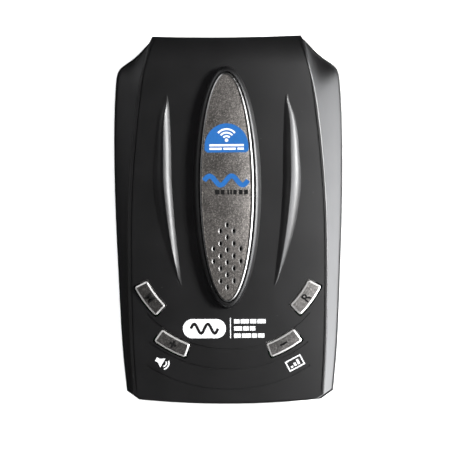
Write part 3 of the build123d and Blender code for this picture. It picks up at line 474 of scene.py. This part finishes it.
# Icons beside the lower keys: a loudspeaker with two sound waves, and a framed bar chart.
speaker_icon = [bar(-2.1, -1.1, -0.6, 0.6), [(-1.1, -0.6), (0.2, -1.5), (0.2, 1.5), (-1.1, 0.6)],
                arc_band((0.1, 0), 1.1, 0.38, -48, 48), arc_band((0.1, 0), 1.85, 0.38, -48, 48)]
mark("speaker_icon", speaker_icon, INK, WHITE_INK, 0.0, on_hood=True, turn=math.radians(-30),
     place=(-19.0, -40.7))
card_icon = [bar(-2.5, 2.5, -1.6, -1.2), bar(-2.5, 2.5, 1.2, 1.6),
             bar(-2.5, -2.1, -1.2, 1.2), bar(2.1, 2.5, -1.2, 1.2)]
card_icon += [bar(-1.6 + 1.1 * i, -0.9 + 1.1 * i, -0.8, -0.3 + 0.5 * i) for i in range(3)]
mark("card_icon", card_icon, INK, WHITE_INK, 0.0, on_hood=True, turn=math.radians(28), place=(19.1, -41.0))


# ---- key legends ----
KEY_RING_CENTRE = Vector((0, -5.6 * MM, 0))  # the keys lie on two rings about this point
UPPER_KEY_RING, LOWER_KEY_RING = 27.9 * MM, 33.8 * MM
LETTER_SIZE, LETTER_WEIGHT = 1.4, 0.03  # font size and added stroke width, as shares of a capital's height


def letter(name, text, height, turn, centre, body):
    """One generic capital letter, as a thin printed solid."""
    curve = bpy.data.curves.new(name, "FONT")
    curve.body = text
    curve.size = height * LETTER_SIZE
    curve.offset = height * LETTER_WEIGHT
    curve.align_x, curve.align_y = "CENTER", "CENTER"
    curve.extrude = INK / 2
    holder = bpy.data.objects.new(name, curve)
    bpy.context.scene.collection.objects.link(holder)
    bpy.context.view_layer.update()
    mesh = bpy.data.meshes.new_from_object(holder)
    bpy.data.objects.remove(holder)
    bm = bmesh.new()
    bm.from_mesh(mesh)
    low = Vector([min(v.co[i] for v in bm.verts) for i in range(3)])
    high = Vector([max(v.co[i] for v in bm.verts) for i in range(3)])
    bmesh.ops.translate(bm, verts=bm.verts, vec=-(low + high) / 2)
    move = Matrix.Translation((centre.x, centre.y, KEY_TOP + INK / 2)) @ Matrix.Rotation(turn, 4, "Z")
    bmesh.ops.transform(bm, matrix=move, verts=bm.verts)
    new_piece(name, bm, BLACK_INK, body)


def key_face_centre(key):
    """The middle of a key's cap, on the ring that the keys share."""
    box_middle = middle(f"key_{key}")
    radius = UPPER_KEY_RING if key in ("m", "r") else LOWER_KEY_RING
    spoke = Vector((box_middle.x, box_middle.y, 0)) - KEY_RING_CENTRE
    return KEY_RING_CENTRE + spoke.normalized() * radius


letter("legend_m", "M", 2.3 * MM, math.radians(-50), key_face_centre("m"), "m_button")
letter("legend_r", "R", 2.5 * MM, math.radians(50), key_face_centre("r"), "r_button")
across = bar(-1.1, 1.1, -0.3, 0.3)
upright = [bar(-0.3, 0.3, -1.1, -0.3), bar(-0.3, 0.3, 0.3, 1.1)]
for key, turn, strokes in (("plus", -30, [across, *upright]), ("minus", 30, [across])):
    centre = key_face_centre(key) / MM
    mark(f"legend_{key}", strokes, INK, BLACK_INK, KEY_TOP, body=f"{key}_button", turn=math.radians(turn),
         place=(centre.x, centre.y))


# ---- rear display: the unlit segments of two digits ----
def segment_bar(length, width):
    """The pointed outline of one display segment, along X."""
    half, point = length / 2, width / 2
    return [(-half, 0), (-half + point, -point), (half - point, -point), (half, 0), (half - point, point),
            (-half + point, point)]


def digit_segments():
    """Two digits and their points, on the display's rear face."""
    bm = bmesh.new()
    centre = (DISPLAY_LOW + DISPLAY_HIGH) / 2
    rise, upright_x, upright_y = 3.0, 1.55, 1.5  # from the middle of a digit to its segments
    long, thick = 2.6, 0.6
    digit_x, point_x, point_radius = 3.6, 2.6, 0.35
    for side in (-1, 1):
        spots = [(0, rise, 0), (0, 0, 0), (0, -rise, 0)]
        spots += [(sx * upright_x, sy * upright_y, 90) for sx in (-1, 1) for sy in (-1, 1)]
        for x, y, turn in spots:
            add_plate(bm, millimetres(segment_bar(long, thick)), INK, math.radians(turn),
                      ((x + side * digit_x) * MM, y * MM, 0))
        add_plate(bm, millimetres(arc((0, 0), point_radius, 0, 340, 17)), INK, 0,
                  ((side * digit_x + point_x) * MM, -rise * MM, 0))
    bmesh.ops.rotate(bm, verts=bm.verts, matrix=Matrix.Rotation(math.radians(90), 3, "X"))
    bmesh.ops.translate(bm, verts=bm.verts, vec=(centre.x, DISPLAY_LOW.y, centre.z))
    new_piece("digit_segments", bm, SEGMENT, HOUSING)


digit_segments()

# ---- underside label: plain ruled lines, no lettering ----
label_middle = (LABEL_LOW + LABEL_HIGH) / 2
rule_left, rule_low, rule_high, rule_pitch = -12.5, 5.2, 5.8, 3.4
bm = bmesh.new()
for i, width in enumerate((22, 25, 17, 24)):
    rule = bar(rule_left, rule_left + width, rule_low - rule_pitch * i, rule_high - rule_pitch * i)
    add_plate(bm, millimetres(rule), INK,
              place=(label_middle.x, label_middle.y, LABEL_LOW.z - INK))
new_piece("label_rules", bm, BLACK_INK, HOUSING)


# ---- floor, light and camera ----
floor_reach = 2.5  # metres from the middle to an edge
bm = bmesh.new()
bmesh.ops.create_grid(bm, x_segments=1, y_segments=1, size=floor_reach)
floor_mesh = bpy.data.meshes.new("floor")
bm.to_mesh(floor_mesh)
bm.free()
floor = bpy.data.objects.new("floor", floor_mesh)
bpy.context.scene.collection.objects.link(floor)
paper = Shader("floor_paper")
paper.set(Roughness=0.9, Specular_IOR_Level=0.2)
paper.colour(paper.ramp(paper.noise(0.4, 2), (0.3, 0.90), (0.7, 0.92)))
floor_mesh.materials.append(paper.material)
floor.visible_glossy = False


def studio_world():
    """A dim soft room with a bright side, made of the soft directions in LOBES."""
    world = bpy.data.worlds.new("studio")
    bpy.context.scene.world = world
    world.use_nodes = True
    tree = world.node_tree
    background = tree.nodes["Background"]
    direction = tree.nodes.new("ShaderNodeTexCoord").outputs["Generated"]
    total = None
    for towards, start, end, strength in LOBES:
        dot = tree.nodes.new("ShaderNodeVectorMath")
        dot.operation = "DOT_PRODUCT"
        dot.inputs[1].default_value = Vector(towards).normalized()
        tree.links.new(direction, dot.inputs[0])
        fade = tree.nodes.new("ShaderNodeMapRange")
        fade.interpolation_type = "SMOOTHSTEP"
        for key, value in (("From Min", start), ("From Max", end), ("To Min", 0.0), ("To Max", strength)):
            fade.inputs[key].default_value = value
        tree.links.new(dot.outputs["Value"], fade.inputs["Value"])
        add = tree.nodes.new("ShaderNodeMath")
        tree.links.new(fade.outputs["Result"], add.inputs[0])
        add.inputs[1].default_value = ROOM
        if total:
            tree.links.new(total, add.inputs[1])
        total = add.outputs[0]
    background.inputs["Color"].default_value = (0.97, 0.98, 1.0, 1.0)
    tree.links.new(total, background.inputs["Strength"])


ROOM = 0.006  # strength of the even light from all around
LOBES = [  # direction, the cosines where it fades in and is full, strength
    ((1.0, -0.30, -0.22), 0.72, 0.97, 7.0),
    ((0.95, 0.0, 0.31), 0.93, 0.99, 6.0),
    ((0.60, -0.35, -0.72), 0.78, 0.975, 3.4),
    ((-0.60, 0.25, -0.76), 0.972, 0.993, 0.35),
    ((-0.93, 0.1, 0.36), 0.94, 0.995, 0.3),
    ((-0.78, 0.58, 0.20), 0.90, 0.99, 1.6),
    ((0.0, -1.0, 0.2), 0.60, 1.0, 0.15),
    ((-1.0, 0.0, 0.0), 0.70, 1.0, 0.04),
]


def softbox(name, place, size, energy, glossy=True):
    """A rectangular area light aimed at the origin, which shows in reflections only if `glossy`."""
    light = bpy.data.lights.new(name, "AREA")
    light.shape = "RECTANGLE"
    light.size, light.size_y = size
    light.energy = energy
    lamp = bpy.data.objects.new(name, light)
    lamp.location = place
    lamp.rotation_euler = (-Vector(place)).to_track_quat("-Z", "Y").to_euler()
    lamp.visible_glossy = glossy
    bpy.context.scene.collection.objects.link(lamp)


studio_world()
softbox("overhead_softbox", place=(0.1, 0.1, 1.4), size=(2.0, 2.0), energy=34.0, glossy=False)
softbox("fill_softbox", place=(-1.0, -0.5, 0.7), size=(1.0, 1.0), energy=16.0, glossy=False)
softbox("side_softbox", place=(0.31, 0.05, 0.26), size=(0.10, 0.10), energy=3.2)

camera_height = 0.60
camera_aside = 0.015  # how far the camera stands to the right of the middle
camera_roll = math.radians(0.4)
camera = bpy.data.cameras.new("camera")
camera.lens = 160.0
camera.sensor_width = 36.0
camera.clip_start = 0.01
camera_object = bpy.data.objects.new("camera", camera)
bpy.context.scene.collection.objects.link(camera_object)
bpy.context.scene.camera = camera_object
aim = Vector((-1.12 * MM, -1.3 * MM, 11 * MM))
eye = Vector((camera_aside, aim.y, camera_height))
gaze = (aim - eye).normalized()
up = Vector((math.sin(camera_roll), math.cos(camera_roll), 0))
right = gaze.cross(up).normalized()
up = right.cross(gaze)
camera_object.matrix_world = Matrix.Translation(eye) @ Matrix((right, up, -gaze)).transposed().to_4x4()

bpy.context.scene.view_settings.view_transform = "Standard"

bpy.context.view_layer.update()
